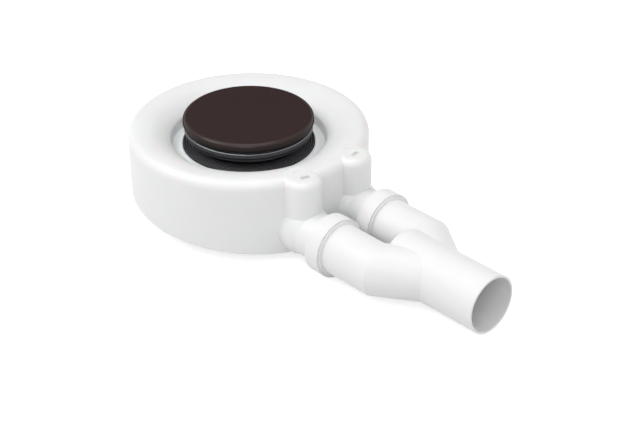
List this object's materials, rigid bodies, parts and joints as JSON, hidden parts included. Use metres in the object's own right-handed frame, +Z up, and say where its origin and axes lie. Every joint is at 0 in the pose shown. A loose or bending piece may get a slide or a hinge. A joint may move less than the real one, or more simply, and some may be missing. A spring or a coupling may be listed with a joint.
{
  "type": "shower trap",
  "caption": "Low shower trap: round white housing, brown cover cap over a bright tray flange with black gaskets, and a forked pipe from two spigots to one outlet",
  "frame": {"origin": "where the vertical axis of the housing meets the underside of its sloping base", "axes": "+Z is up, along the axis of the waste and its cover; +X runs along the outlet pipe, away from the housing; +Y is to the left of someone who looks along the outlet"},
  "size_m": [0.3895, 0.211, 0.0857],
  "materials": {
    "white_housing": "satin",
    "white_pipe": "satin",
    "black_rubber": "matte",
    "black_plastic": "satin",
    "bright_flange": "polished",
    "brown_cover": "satin"
  },
  "bodies": {
    "root": {"trap_housing": "white_housing", "neck_insert": "white_housing", "base_plate": "white_housing", "y_connector": "white_pipe", "near_seal_cap": "white_pipe", "far_seal_cap": "white_pipe", "near_socket_seal": "black_rubber", "far_socket_seal": "black_rubber", "dip_tube_ring_1": "black_rubber", "dip_tube_ring_2": "black_rubber", "lower_gasket": "black_rubber", "upper_gasket": "black_rubber", "threaded_neck": "black_plastic", "cap_carrier": "black_plastic", "dip_tube": "white_housing", "hair_strainer": "black_plastic", "waste_flange": "bright_flange", "cover_cap": "brown_cover"}
  },
  "joints": []
}
